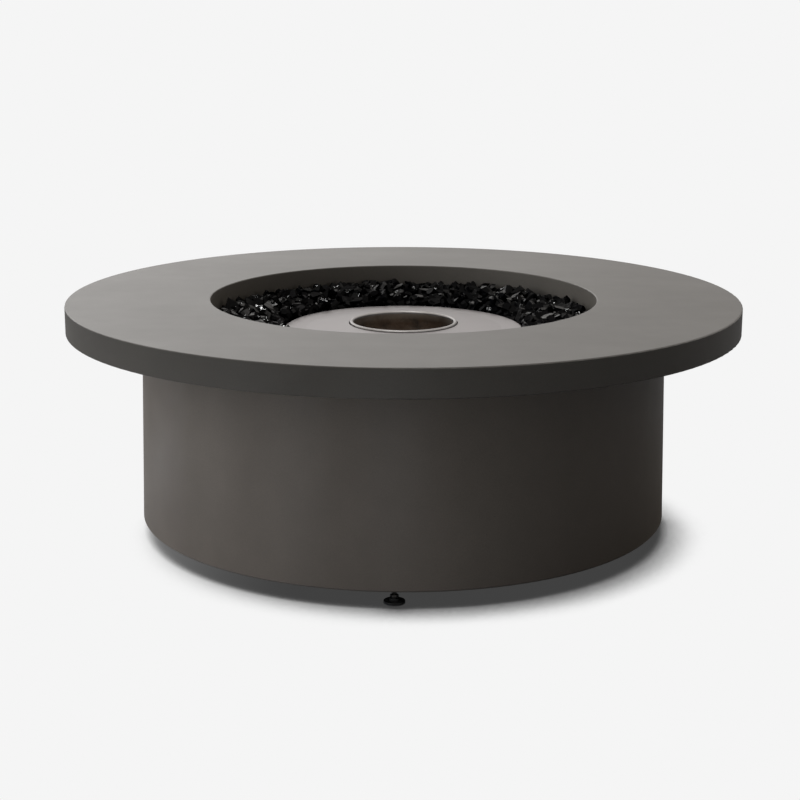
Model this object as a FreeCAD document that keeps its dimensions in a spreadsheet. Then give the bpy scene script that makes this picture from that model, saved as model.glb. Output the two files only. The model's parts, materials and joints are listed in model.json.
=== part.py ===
import FreeCAD, Part
import os
import re
import Sketcher

# A round outdoor fire table: a concrete ring slab bolted to a hollow concrete drum on four levelling feet.
# A steel tray of crushed glass hangs in the well, and an ethanol burner hangs from its plate in the tray.
# Millimetres. The origin is on the floor under the middle of the burner, +Z up, and -Y is the front.

# Driving dimensions: name, value, what it is
SIZES = [
    ("slab_radius", 630, "outer radius of the tabletop"),
    ("slab_hole_radius", 363, "radius of the well through the tabletop"),
    ("slab_thickness", 50, "thickness of the tabletop"),
    ("slab_edge_round", 2, "round on the slab's edges"),
    ("gasket_thickness", 2, "bedding ring between slab and drum"),
    ("gasket_inset", 12, "how far the gasket stays back from the drum's face"),
    ("gasket_setback", 51.5, "how far the gasket stays back from the well"),
    ("drum_height", 360, "height of the drum casting"),
    ("drum_top_radius", 490.5, "outer radius of the drum under the slab"),
    ("drum_draft", 8.5, "how much wider the drum is at its foot than under the slab"),
    ("drum_wall", 25, "thickness of the drum's wall"),
    ("drum_edge_chamfer", 3, "chamfer on the drum's foot edge"),
    ("ledge_width", 25, "how far the drum's top flange runs in past the well, as the tray's ledge"),
    ("flange_thickness", 25, "thickness of the drum's top flange"),
    ("foot_ring_width", 74, "radial width of the drum's foot ring"),
    ("foot_ring_thickness", 30, "thickness of the drum's foot ring"),
    ("gusset_thickness", 20, "thickness of a gusset"),
    ("gusset_reach", 60, "how far a gusset runs in from the wall, and down it"),
    ("slab_bolt_count", 8, "bolts that hold the slab down"),
    ("slab_bolt_inset", 50.5, "how far the slab bolts stand in from the drum's top face"),
    ("slab_bolt_radius", 5, "radius of an M10 bolt"),
    ("slab_bolt_length", 50, "length of a slab bolt under its head"),
    ("slab_bolt_head", 6.4, "height of its hexagon head"),
    ("slab_bolt_flats", 17, "width of its head across the flats"),
    ("slab_bolt_hole_gap", 1, "radial room round the bolt in flange and gasket"),
    ("washer_radius", 10.5, "outer radius of a slab washer"),
    ("washer_thickness", 2, "thickness of a slab washer"),
    ("washer_gap", 0.3, "radial room of the bolt in its washer"),
    ("thread_chamfer", 1, "chamfer on the end of a bolt or levelling stud"),
    ("insert_radius", 8, "outer radius of a cast-in threaded sleeve"),
    ("slab_insert_length", 30, "length of a sleeve in the slab"),
    ("foot_insert_length", 35, "length of a sleeve in the drum's foot ring"),
    ("foot_insert_flange_radius", 12, "radius of the flange on a foot sleeve"),
    ("foot_insert_flange", 1.5, "thickness of that flange"),
    ("thread_gap", 0.08, "running gap of a stud in its sleeve, nut or pad"),
    ("cast_gap", 0.05, "gap round a piece cast into concrete"),
    ("ground_gap", 28, "height of the drum's foot over the floor"),
    ("foot_inset", 30, "how far the levelling feet stand in from the drum's foot edge"),
    ("foot_boss_radius", 25, "radius of the casting's boss over a foot"),
    ("foot_boss_height", 60, "height of that boss over the drum's foot"),
    ("foot_bore_depth", 46, "depth of the blind hole for a foot's stud"),
    ("stud_room_gap", 1.5, "radial room round the stud's end in that hole"),
    ("pad_radius", 18.5, "radius of a foot's pad"),
    ("pad_thickness", 3.1, "thickness of the pad's disc over its sole"),
    ("sole_thickness", 1.5, "thickness of the rubber sole"),
    ("pad_hub_radius", 8.5, "radius of the pad's hub"),
    ("pad_hub_height", 4.4, "height of the hub over the disc"),
    ("pad_floor", 1.5, "thickness of the pad under the stud's head"),
    ("pad_round", 1.2, "round on the pad's upper edges"),
    ("stud_radius", 4, "radius of an M8 levelling stud"),
    ("stud_head_radius", 6, "radius of the stud's trapped head"),
    ("stud_head_height", 2.8, "height of the trapped head"),
    ("stud_flats", 13, "width of the stud's hexagon across the flats"),
    ("stud_hexagon_height", 5.5, "height of that hexagon"),
    ("stud_end_reach", 32, "how far the stud runs up past the drum's foot"),
    ("lock_nut_height", 6.5, "height of an M8 lock nut"),
    ("socket_gap", 0.3, "axial room of the hexagon and head in the pad"),
    ("tray_thickness", 1.5, "sheet of the glass tray"),
    ("tray_gap", 5, "gap between the tray's lip and the slab's hole"),
    ("tray_wall_gap", 2, "gap between the tray's wall and the ledge"),
    ("tray_lip_height", 14, "height of the tray's lip over the ledge"),
    ("tray_depth", 38, "depth of the tray's gutter under the ledge"),
    ("collar_drop", 9.5, "how far the tray's collar stays under the ledge"),
    ("plate_radius", 226, "outer radius of the burner's top plate"),
    ("plate_thickness", 1.5, "sheet of the burner's plate and casing"),
    ("plate_rise", 9, "how far the plate's middle is dished up over its flat edge"),
    ("plate_rise_inset", 2, "how far inside the casing's flange the plate starts to rise"),
    ("plate_lip", 8, "depth of the plate's turned-down edge"),
    ("plate_edge_round", 3, "outer bend of that edge"),
    ("plate_overhang", 16, "how far the plate runs out past the tray's collar"),
    ("mouth_radius", 95, "inner radius of the burner's mouth"),
    ("mouth_rim_width", 7, "radial width of the bright rim"),
    ("mouth_rim_height", 5.5, "height of the bright rim"),
    ("mouth_rim_round", 3.2, "round on the rim's top edges"),
    ("mouth_rim_rise", 4, "height of the rim's top over the plate's middle"),
    ("mouth_gap", 1.5, "gap between the rim and the plate's hole"),
    ("throat_wall", 1.5, "wall of the throat tube"),
    ("throat_in_tank", 5.2, "how far the throat reaches down into the reservoir"),
    ("casing_gap", 1.5, "gap between the casing and the tray's collar"),
    ("casing_depth", 105, "depth of the casing under the plate"),
    ("casing_flange", 18, "width of the casing's inward flange"),
    ("casing_round", 1.2, "round on the casing's bottom edge"),
    ("spill_gap", 22, "gap between the casing's wall and the reservoir"),
    ("tank_wall", 1.2, "sheet of the reservoir"),
    ("tank_height", 65, "height of the reservoir with its deck"),
    ("standoff_count", 4, "spacers under the reservoir"),
    ("standoff_circle", 120, "radius of the circle of spacers"),
    ("standoff_radius", 10, "outer radius of a spacer"),
    ("standoff_bore", 5.5, "bore radius of a spacer"),
    ("standoff_height", 10, "height of a spacer"),
    ("fibre_gap", 0.3, "room round the fibre pad"),
    ("baffle_thickness", 1.2, "sheet of the flame baffle"),
    ("baffle_edge", 5, "least distance of the baffle's holes from the mouth's wall"),
    ("baffle_pitch", 17, "spacing of those rings"),
    ("baffle_hole_radius", 4, "radius of a baffle hole"),
    ("baffle_holes_per_ring", 6, "holes that each ring has more than the one inside it"),
    ("plate_stud_count", 6, "studs under the plate"),
    ("plate_stud_radius", 2.5, "radius of an M5 stud"),
    ("plate_stud_length", 12, "length of an M5 stud"),
    ("stud_chamfer", 0.6, "chamfer on its end"),
    ("plate_stud_hole_gap", 0.3, "radial room round the stud in the casing's flange"),
    ("plate_nut_height", 4, "height of an M5 nut"),
    ("plate_nut_flats", 8, "width of an M5 nut across the flats"),
    ("glass_gap", 1.5, "gap between the heap of glass and the plate's edge"),
    ("glass_wall_gap", 0.3, "gap between the heap and the tray"),
    ("glass_height_at_plate", 5, "height of the heap at the plate, under the ledge's level"),
    ("glass_height_at_crown", 13, "height of the heap's crown over the ledge"),
    ("glass_height_at_wall", 16, "height of the heap at the wall over the ledge"),
    ("glass_crown_inset", 45, "how far the crown lies in from the tray's lip"),
]

# Levels, worked up from the floor
DRUM_TOP = "(ground_gap + drum_height)"
SLAB_BOTTOM = f"({DRUM_TOP} + gasket_thickness)"
SLAB_TOP = f"({SLAB_BOTTOM} + slab_thickness)"
FLANGE_UNDERSIDE = f"({DRUM_TOP} - flange_thickness)"
TRAY_FLOOR = f"({DRUM_TOP} - tray_depth)"
TRAY_FLANGE_TOP = f"({DRUM_TOP} + tray_thickness)"
PLATE_UNDERSIDE = f"({DRUM_TOP} - collar_drop)"
PLATE_TOP = f"({PLATE_UNDERSIDE} + plate_thickness)"
RIM_TOP = f"({PLATE_TOP} + plate_rise + mouth_rim_rise)"
RIM_BOTTOM = f"({RIM_TOP} - mouth_rim_height)"
CASING_BOTTOM = f"({PLATE_UNDERSIDE} - casing_depth)"
CASING_FLOOR = f"({CASING_BOTTOM} + plate_thickness)"
TANK_BOTTOM = f"({CASING_FLOOR} + standoff_height)"
TANK_TOP = f"({TANK_BOTTOM} + tank_height)"
THROAT_BOTTOM = f"({TANK_TOP} - throat_in_tank)"
PAD_TOP = "(sole_thickness + pad_thickness)"
HUB_TOP = f"({PAD_TOP} + pad_hub_height)"
SOCKET_FLOOR = "(sole_thickness + pad_floor)"
SOCKET_TOP = f"({SOCKET_FLOOR} + stud_head_height + socket_gap)"

# Radii that follow from the pieces they fit
DRUM_BASE = "(drum_top_radius + drum_draft)"
DRUM_TOP_BORE = "(drum_top_radius - drum_wall)"
DRUM_BASE_BORE = f"({DRUM_BASE} - drum_wall)"
LEDGE = "(slab_hole_radius - ledge_width)"
FOOT_RING = f"({DRUM_BASE} - foot_ring_width)"
SLAB_BOLT_CIRCLE = "(drum_top_radius - slab_bolt_inset)"
FOOT_CIRCLE = f"({DRUM_BASE} - foot_inset)"
TRAY_LIP = "(slab_hole_radius - tray_gap)"
TRAY_WALL = f"({LEDGE} - tray_wall_gap)"
COLLAR = "(plate_radius - plate_overhang)"
CASING = f"({COLLAR} - tray_thickness - casing_gap)"
TANK = f"({CASING} - plate_thickness - spill_gap)"
THROAT = "(mouth_radius + throat_wall)"
STUD_BORE = "(stud_radius + thread_gap)"
BOLT_HOLE = "(slab_bolt_radius + slab_bolt_hole_gap)"
CASING_MOUTH = f"({CASING} - plate_thickness - casing_flange)"
PLATE_STUD_CIRCLE = f"({CASING_MOUTH} + casing_flange / 2)"

# As many rings of holes as the baffle has room for inside the mouth
BAFFLE_RINGS = "floor((mouth_radius - baffle_hole_radius - baffle_edge) / baffle_pitch)"

# Where the levelling feet stand, seen from above, in degrees from +X
FEET = {"right": 0, "back": 90, "left": 180, "front": 270}

# How close a circle on a shape must lie to the radius and level asked for
EDGE_TOLERANCE = 0.01

doc = FreeCAD.newDocument("FireTable")
sheet = doc.addObject("Spreadsheet::Sheet", "Sizes")
for row, (alias, value, meaning) in enumerate(SIZES, start=1):
    sheet.set(f"A{row}", meaning)
    sheet.set(f"B{row}", str(value))
    sheet.setAlias(f"B{row}", alias)
doc.recompute()

ALIASES = re.compile(r"\b(" + "|".join(alias for alias, value, meaning in SIZES) + r")\b")
PIECES = []


def bound(text):
    """An expression of plain size names, with each name pointing at the sheet."""
    return ALIASES.sub(r"Sizes.\1", text)


def number(text):
    """The present value of such an expression."""
    return float(sheet.evalExpression(bound(text)))


def origin_feature(body, role):
    """One of the body's own origin planes or axes."""
    return next(item for item in body.Origin.OriginFeatures if item.Role == role)


def new_body(name):
    """A sub-part of the table; its label names its file."""
    body = doc.addObject("PartDesign::Body", name)
    body.Label = name
    PIECES.append(body)
    return body


def new_sketch(body, name, plane, level=None):
    """A sketch on one of the body's own origin planes, raised to a level along the plane's normal."""
    sketch = body.newObject("Sketcher::SketchObject", name)
    sketch.AttachmentSupport = (origin_feature(body, plane), [""])
    sketch.MapMode = "FlatFace"
    if level is not None:
        sketch.setExpression("AttachmentOffset.Base.z", bound(level))
    return sketch


def pin_point(sketch, line, across, up):
    """Binds the start of a line to its two distances from the sketch's origin."""
    for kind, text, axis in (("DistanceX", across, -2), ("DistanceY", up, -1)):
        if number(text) == 0:
            sketch.addConstraint(Sketcher.Constraint("PointOnObject", line, 1, axis))
        else:
            index = sketch.addConstraint(Sketcher.Constraint(kind, -1, 1, line, 1, number(text)))
            sketch.setExpression(f"Constraints[{index}]", bound(text))


def draw_outline(sketch, corners):
    """A closed outline of straight lines through corners, each given as two expressions."""
    points = [FreeCAD.Vector(number(across), number(up), 0) for across, up in corners]
    count = len(points)
    for index in range(count):
        sketch.addGeometry(Part.LineSegment(points[index], points[(index + 1) % count]), False)
    for index in range(count):
        sketch.addConstraint(Sketcher.Constraint("Coincident", index, 2, (index + 1) % count, 1))
    for index, (across, up) in enumerate(corners):
        pin_point(sketch, index, across, up)


def draw_circle(sketch, radius, across="0"):
    """A circle whose centre lies on the sketch's first axis, at a distance from its origin."""
    centre = FreeCAD.Vector(number(across), 0, 0)
    circle = sketch.addGeometry(Part.Circle(centre, FreeCAD.Vector(0, 0, 1), number(radius)), False)
    index = sketch.addConstraint(Sketcher.Constraint("Radius", circle, number(radius)))
    sketch.setExpression(f"Constraints[{index}]", bound(radius))
    if number(across) == 0:
        sketch.addConstraint(Sketcher.Constraint("Coincident", circle, 3, -1, 1))
        return
    sketch.addConstraint(Sketcher.Constraint("PointOnObject", circle, 3, -1))
    index = sketch.addConstraint(Sketcher.Constraint("DistanceX", -1, 1, circle, 3, number(across)))
    sketch.setExpression(f"Constraints[{index}]", bound(across))


def draw_hexagon(sketch, flats, across="0"):
    """A hexagon on the sketch's first axis, with a corner pointing outwards along it."""
    half = f"({flats} / 2)"
    corner = f"({flats} / sqrt(3))"
    outline = []
    for side_x, side_y in ((1, 0), (0.5, 1), (-0.5, 1), (-1, 0), (-0.5, -1), (0.5, -1)):
        outline.append((f"{across} + {side_x} * {corner}", f"{side_y} * {half}"))
    draw_outline(sketch, outline)


def revolve(body, corners):
    """Turns an outline of radius and level pairs about the body's upright axis."""
    sketch = new_sketch(body, body.Label + "_outline", "XZ_Plane")
    draw_outline(sketch, corners)
    turn = body.newObject("PartDesign::Revolution", body.Label + "_turned")
    turn.Profile = sketch
    turn.ReferenceAxis = (sketch, ["V_Axis"])
    turn.Angle = 360
    doc.recompute()
    return turn


def pad(body, name, sketch, length):
    """Raises a sketch into a solid."""
    feature = body.newObject("PartDesign::Pad", name)
    feature.Profile = sketch
    feature.setExpression("Length", bound(length))
    doc.recompute()
    return feature


def pocket_up(body, name, sketch, depth):
    """Cuts a sketch upwards into the solid, and makes sure that it removed something."""
    before = body.Shape.Volume
    feature = body.newObject("PartDesign::Pocket", name)
    feature.Profile = sketch
    feature.Reversed = True
    feature.setExpression("Length", bound(depth))
    doc.recompute()
    if not body.Shape.Volume < before:
        raise ValueError(name + " cut nothing")
    return feature


def repeat_round(body, name, count, features=None):
    """Repeats features, or with none given the whole piece, round the body's upright axis."""
    pattern = body.newObject("PartDesign::PolarPattern", name)
    if features:
        pattern.Originals = features
    else:
        pattern.TransformMode = "Whole shape"
    pattern.Axis = (origin_feature(body, "Z_Axis"), [""])
    pattern.Angle = 360
    pattern.setExpression("Occurrences", bound(count))
    body.Tip = pattern
    doc.recompute()
    return pattern


def round_edges(shape, radius, level):
    """The names of the full circles of a shape that have a radius and lie at a level."""
    names = []
    for index, edge in enumerate(shape.Edges, start=1):
        if not isinstance(edge.Curve, Part.Circle):
            continue
        near_radius = abs(edge.Curve.Radius - number(radius)) < EDGE_TOLERANCE
        near_level = abs(edge.Curve.Center.z - number(level)) < EDGE_TOLERANCE
        if near_radius and near_level:
            names.append(f"Edge{index}")
    if not names:
        raise ValueError(f"no edge of radius {radius} at {level}")
    return names


def dress(body, kind, name, edges, size):
    """A fillet or a chamfer on circles given as radius and level pairs."""
    base = body.Tip
    names = []
    for radius, level in edges:
        names += round_edges(base.Shape, radius, level)
    feature = body.newObject("PartDesign::" + kind, name)
    feature.Base = (base, names)
    feature.setExpression("Radius" if kind == "Fillet" else "Size", bound(size))
    doc.recompute()
    return feature


def ring_outline(inner, outer, bottom, top):
    return [(inner, bottom), (outer, bottom), (outer, top), (inner, top)]


def ring(name, inner, outer, bottom, top):
    """A plain ring or, with an inner radius of 0, a disc."""
    body = new_body(name)
    revolve(body, ring_outline(inner, outer, bottom, top))
    return body


# Concrete table

def make_tabletop_slab():
    """Concrete ring with rounded edges and blind holes for its threaded sleeves."""
    body = ring("tabletop_slab", "slab_hole_radius", "slab_radius", SLAB_BOTTOM, SLAB_TOP)
    edges = [(radius, level) for radius in ("slab_hole_radius", "slab_radius")
             for level in (SLAB_BOTTOM, SLAB_TOP)]
    dress(body, "Fillet", "slab_edges", edges, "slab_edge_round")
    sketch = new_sketch(body, "slab_sleeve_hole", "XY_Plane", SLAB_BOTTOM)
    draw_circle(sketch, "insert_radius + cast_gap", SLAB_BOLT_CIRCLE)
    hole = pocket_up(body, "slab_sleeve_hole_cut", sketch, "slab_insert_length + cast_gap")
    repeat_round(body, "slab_sleeve_holes", "slab_bolt_count", [hole])


def make_slab_gasket():
    """Rubber bedding ring, set back so that it shows only as a shadow line."""
    outer = "(drum_top_radius - gasket_inset)"
    body = ring("slab_gasket", "(slab_hole_radius + gasket_setback)", outer, DRUM_TOP, SLAB_BOTTOM)
    sketch = new_sketch(body, "gasket_hole", "XY_Plane", DRUM_TOP)
    draw_circle(sketch, BOLT_HOLE, SLAB_BOLT_CIRCLE)
    hole = pocket_up(body, "gasket_hole_cut", sketch, "gasket_thickness")
    repeat_round(body, "gasket_holes", "slab_bolt_count", [hole])


def add_drum_gussets(body):
    """Triangular gussets between the drum's wall and its top flange, halfway between the bolts."""
    root = f"({DRUM_TOP_BORE} + drum_wall / 2)"
    tip = f"({DRUM_TOP_BORE} - gusset_reach)"
    middle = f"({FLANGE_UNDERSIDE} + flange_thickness / 2)"
    low = f"({FLANGE_UNDERSIDE} - gusset_reach)"
    sketch = new_sketch(body, "gusset_outline", "XZ_Plane")
    upright = FreeCAD.Rotation(FreeCAD.Vector(0, 1, 0), 1)
    sketch.AttachmentOffset = FreeCAD.Placement(FreeCAD.Vector(), upright)
    sketch.setExpression("AttachmentOffset.Rotation.Angle", bound("180 / slab_bolt_count"))
    draw_outline(sketch, [(tip, FLANGE_UNDERSIDE), (root, low), (root, middle), (tip, middle)])
    gusset = body.newObject("PartDesign::Pad", "gusset")
    gusset.Profile = sketch
    gusset.SideType = "Symmetric"
    gusset.setExpression("Length", bound("gusset_thickness"))
    doc.recompute()
    repeat_round(body, "gussets", "slab_bolt_count", [gusset])


def add_foot_bosses(body):
    """A boss over each levelling foot, with a stepped blind hole for its sleeve and stud."""
    sketch = new_sketch(body, "foot_boss_outline", "XY_Plane", "ground_gap")
    draw_circle(sketch, "foot_boss_radius", FOOT_CIRCLE)
    boss = pad(body, "foot_boss", sketch, "foot_boss_height")
    repeat_round(body, "foot_bosses", str(len(FEET)), [boss])
    steps = [
        ("flange_seat", "foot_insert_flange_radius + cast_gap", "foot_insert_flange"),
        ("sleeve_seat", "insert_radius + cast_gap", "foot_insert_length + cast_gap"),
        ("stud_room", "stud_radius + stud_room_gap", "foot_bore_depth"),
    ]
    cuts = []
    for name, radius, depth in steps:
        step = new_sketch(body, name, "XY_Plane", "ground_gap")
        draw_circle(step, radius, FOOT_CIRCLE)
        cuts.append(pocket_up(body, name + "_cut", step, depth))
    repeat_round(body, "foot_bores", str(len(FEET)), cuts)


def make_base_drum():
    """Hollow concrete drum: drafted wall, top flange that carries slab and tray, foot ring."""
    body = new_body("base_drum")
    ring_top = "(ground_gap + foot_ring_thickness)"
    revolve(body, [
        (FOOT_RING, "ground_gap"),
        (DRUM_BASE, "ground_gap"),
        ("drum_top_radius", DRUM_TOP),
        (LEDGE, DRUM_TOP),
        (LEDGE, FLANGE_UNDERSIDE),
        (DRUM_TOP_BORE, FLANGE_UNDERSIDE),
        (DRUM_BASE_BORE, ring_top),
        (FOOT_RING, ring_top),
    ])
    dress(body, "Chamfer", "drum_foot_edge", [(DRUM_BASE, "ground_gap")], "drum_edge_chamfer")
    add_drum_gussets(body)
    add_foot_bosses(body)
    sketch = new_sketch(body, "slab_bolt_hole", "XY_Plane", FLANGE_UNDERSIDE)
    draw_circle(sketch, BOLT_HOLE, SLAB_BOLT_CIRCLE)
    hole = pocket_up(body, "slab_bolt_hole_cut", sketch, "flange_thickness")
    repeat_round(body, "slab_bolt_holes", "slab_bolt_count", [hole])


# Fasteners of the slab

def make_slab_inserts():
    """Threaded sleeves cast into the slab's underside."""
    body = new_body("slab_inserts")
    sketch = new_sketch(body, "slab_sleeve", "XY_Plane", SLAB_BOTTOM)
    draw_circle(sketch, "insert_radius", SLAB_BOLT_CIRCLE)
    draw_circle(sketch, "slab_bolt_radius + thread_gap", SLAB_BOLT_CIRCLE)
    pad(body, "slab_sleeve_raised", sketch, "slab_insert_length")
    repeat_round(body, "slab_sleeves", "slab_bolt_count")


def make_slab_bolts():
    """Hexagon bolts that come up through the drum's flange into the slab's sleeves."""
    body = new_body("slab_bolts")
    under_head = f"({FLANGE_UNDERSIDE} - washer_thickness)"
    head = new_sketch(body, "bolt_head", "XY_Plane", f"{under_head} - slab_bolt_head")
    draw_hexagon(head, "slab_bolt_flats", SLAB_BOLT_CIRCLE)
    pad(body, "bolt_head_raised", head, "slab_bolt_head")
    shank = new_sketch(body, "bolt_shank", "XY_Plane", under_head)
    draw_circle(shank, "slab_bolt_radius", SLAB_BOLT_CIRCLE)
    pad(body, "bolt_shank_raised", shank, "slab_bolt_length")
    end = f"({under_head} + slab_bolt_length)"
    dress(body, "Chamfer", "bolt_end", [("slab_bolt_radius", end)], "thread_chamfer")
    repeat_round(body, "bolts", "slab_bolt_count")


def make_slab_washers():
    """Flat washers between the bolt heads and the flange's underside."""
    body = new_body("slab_washers")
    sketch = new_sketch(body, "washer", "XY_Plane", f"{FLANGE_UNDERSIDE} - washer_thickness")
    draw_circle(sketch, "washer_radius", SLAB_BOLT_CIRCLE)
    draw_circle(sketch, "slab_bolt_radius + washer_gap", SLAB_BOLT_CIRCLE)
    pad(body, "washer_raised", sketch, "washer_thickness")
    repeat_round(body, "washers", "slab_bolt_count")


# Levelling feet

def make_foot_inserts():
    """Flanged threaded sleeves cast into the drum over the feet."""
    body = new_body("foot_inserts")
    sleeve = new_sketch(body, "foot_sleeve", "XY_Plane", "ground_gap")
    draw_circle(sleeve, "insert_radius", FOOT_CIRCLE)
    draw_circle(sleeve, STUD_BORE, FOOT_CIRCLE)
    pad(body, "foot_sleeve_raised", sleeve, "foot_insert_length")
    flange = new_sketch(body, "foot_sleeve_flange", "XY_Plane", "ground_gap")
    draw_circle(flange, "foot_insert_flange_radius", FOOT_CIRCLE)
    draw_circle(flange, STUD_BORE, FOOT_CIRCLE)
    pad(body, "foot_sleeve_flange_raised", flange, "foot_insert_flange")
    repeat_round(body, "foot_sleeves", str(len(FEET)))


def make_foot_lock_nuts():
    """Nuts on the studs, tight against the sleeves' flanges."""
    body = new_body("foot_lock_nuts")
    sketch = new_sketch(body, "lock_nut", "XY_Plane", "ground_gap - lock_nut_height")
    draw_hexagon(sketch, "stud_flats", FOOT_CIRCLE)
    draw_circle(sketch, STUD_BORE, FOOT_CIRCLE)
    pad(body, "lock_nut_raised", sketch, "lock_nut_height")
    repeat_round(body, "lock_nuts", str(len(FEET)))


def stand_on_foot_circle(body, angle):
    """Moves a piece made on the middle axis out to its foot's place."""
    body.setExpression("Placement.Base.x", bound(f"{FOOT_CIRCLE} * cos({angle})"))
    body.setExpression("Placement.Base.y", bound(f"{FOOT_CIRCLE} * sin({angle})"))


def make_foot(side, angle):
    """Rubber sole, black pad with a hub, and the steel stud whose head the hub traps."""
    sole = ring(f"foot_sole_{side}", "0", "pad_radius", "0", "sole_thickness")
    stand_on_foot_circle(sole, angle)

    foot_pad = new_body(f"foot_pad_{side}")
    revolve(foot_pad, [
        ("0", "sole_thickness"),
        ("pad_radius", "sole_thickness"),
        ("pad_radius", PAD_TOP),
        ("pad_hub_radius", PAD_TOP),
        ("pad_hub_radius", HUB_TOP),
        (STUD_BORE, HUB_TOP),
        (STUD_BORE, SOCKET_TOP),
        ("(stud_head_radius + socket_gap)", SOCKET_TOP),
        ("(stud_head_radius + socket_gap)", SOCKET_FLOOR),
        ("0", SOCKET_FLOOR),
    ])
    edges = [("pad_radius", PAD_TOP), ("pad_hub_radius", HUB_TOP)]
    dress(foot_pad, "Fillet", f"foot_pad_edges_{side}", edges, "pad_round")
    stand_on_foot_circle(foot_pad, angle)

    stud = new_body(f"foot_stud_{side}")
    head_top = f"({SOCKET_FLOOR} + stud_head_height)"
    end = "(ground_gap + stud_end_reach)"
    revolve(stud, [
        ("0", SOCKET_FLOOR),
        ("stud_head_radius", SOCKET_FLOOR),
        ("stud_head_radius", head_top),
        ("stud_radius", head_top),
        ("stud_radius", end),
        ("0", end),
    ])
    dress(stud, "Chamfer", f"foot_stud_end_{side}", [("stud_radius", end)], "thread_chamfer")
    hexagon = new_sketch(stud, f"foot_stud_hexagon_{side}", "XY_Plane", f"{HUB_TOP} + socket_gap")
    draw_hexagon(hexagon, "stud_flats")
    pad(stud, f"foot_stud_hexagon_raised_{side}", hexagon, "stud_hexagon_height")
    stand_on_foot_circle(stud, angle)


# Glass tray

def make_glass_tray():
    """Sheet steel gutter: a lip and flange that rest on the ledge, and a collar for the burner."""
    body = new_body("glass_tray")
    lip_top = f"({DRUM_TOP} + tray_lip_height)"
    floor_top = f"({TRAY_FLOOR} + tray_thickness)"
    revolve(body, [
        (TRAY_LIP, DRUM_TOP),
        (TRAY_LIP, lip_top),
        (f"({TRAY_LIP} - tray_thickness)", lip_top),
        (f"({TRAY_LIP} - tray_thickness)", TRAY_FLANGE_TOP),
        (f"({TRAY_WALL} - tray_thickness)", TRAY_FLANGE_TOP),
        (f"({TRAY_WALL} - tray_thickness)", floor_top),
        (COLLAR, floor_top),
        (COLLAR, PLATE_UNDERSIDE),
        (f"({COLLAR} - tray_thickness)", PLATE_UNDERSIDE),
        (f"({COLLAR} - tray_thickness)", TRAY_FLOOR),
        (TRAY_WALL, TRAY_FLOOR),
        (TRAY_WALL, DRUM_TOP),
    ])


def make_fire_glass():
    """The heap of crushed glass as one closed ring, higher at the wall than at the plate."""
    body = new_body("fire_glass")
    inner = "(plate_radius + glass_gap)"
    gutter = f"({TRAY_WALL} - tray_thickness - glass_wall_gap)"
    outer = f"({TRAY_LIP} - tray_thickness - glass_wall_gap)"
    bottom = f"({TRAY_FLOOR} + tray_thickness + glass_wall_gap)"
    shelf = f"({TRAY_FLANGE_TOP} + glass_wall_gap)"
    revolve(body, [
        (inner, bottom),
        (gutter, bottom),
        (gutter, shelf),
        (outer, shelf),
        (outer, f"({DRUM_TOP} + glass_height_at_wall)"),
        (f"({outer} - glass_crown_inset)", f"({DRUM_TOP} + glass_height_at_crown)"),
        (inner, f"({DRUM_TOP} - glass_height_at_plate)"),
    ])


# Burner

def make_burner_top_plate():
    """Brushed ring plate, dished up to the mouth, with a turned-down edge; it rests on the tray's collar."""
    body = new_body("burner_top_plate")
    hole = "(mouth_radius + mouth_rim_width + mouth_gap)"
    lip_bottom = f"({PLATE_UNDERSIDE} - plate_lip)"
    inside_lip = "(plate_radius - plate_thickness)"
    rise_foot = f"({CASING_MOUTH} - plate_rise_inset)"
    revolve(body, [
        (hole, f"({PLATE_UNDERSIDE} + plate_rise)"),
        (rise_foot, PLATE_UNDERSIDE),
        (inside_lip, PLATE_UNDERSIDE),
        (inside_lip, lip_bottom),
        ("plate_radius", lip_bottom),
        ("plate_radius", PLATE_TOP),
        (rise_foot, PLATE_TOP),
        (hole, f"({PLATE_TOP} + plate_rise)"),
    ])
    dress(body, "Fillet", "plate_bend_outside", [("plate_radius", PLATE_TOP)], "plate_edge_round")
    inside_round = "plate_edge_round - plate_thickness"
    dress(body, "Fillet", "plate_bend_inside", [(inside_lip, PLATE_UNDERSIDE)], inside_round)


def make_mouth():
    """Bright round-topped rim and the throat tube under it."""
    outer = "(mouth_radius + mouth_rim_width)"
    rim = ring("mouth_rim", "mouth_radius", outer, RIM_BOTTOM, RIM_TOP)
    edges = [("mouth_radius", RIM_TOP), (outer, RIM_TOP)]
    dress(rim, "Fillet", "mouth_rim_top", edges, "mouth_rim_round")
    ring("burner_throat", "mouth_radius", THROAT, THROAT_BOTTOM, RIM_BOTTOM)


def make_flame_baffle():
    """Perforated disc under the throat, with rings of holes six apart round a middle hole."""
    level = f"({THROAT_BOTTOM} - baffle_thickness)"
    body = ring("flame_baffle", "0", THROAT, level, THROAT_BOTTOM)
    middle = new_sketch(body, "baffle_middle_hole", "XY_Plane", level)
    draw_circle(middle, "baffle_hole_radius")
    pocket_up(body, "baffle_middle_hole_cut", middle, "baffle_thickness")
    for step in range(1, int(number(BAFFLE_RINGS)) + 1):
        sketch = new_sketch(body, f"baffle_hole_{step}", "XY_Plane", level)
        draw_circle(sketch, "baffle_hole_radius", f"{step} * baffle_pitch")
        hole = pocket_up(body, f"baffle_hole_cut_{step}", sketch, "baffle_thickness")
        repeat_round(body, f"baffle_holes_{step}", f"{step} * baffle_holes_per_ring", [hole])


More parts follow.
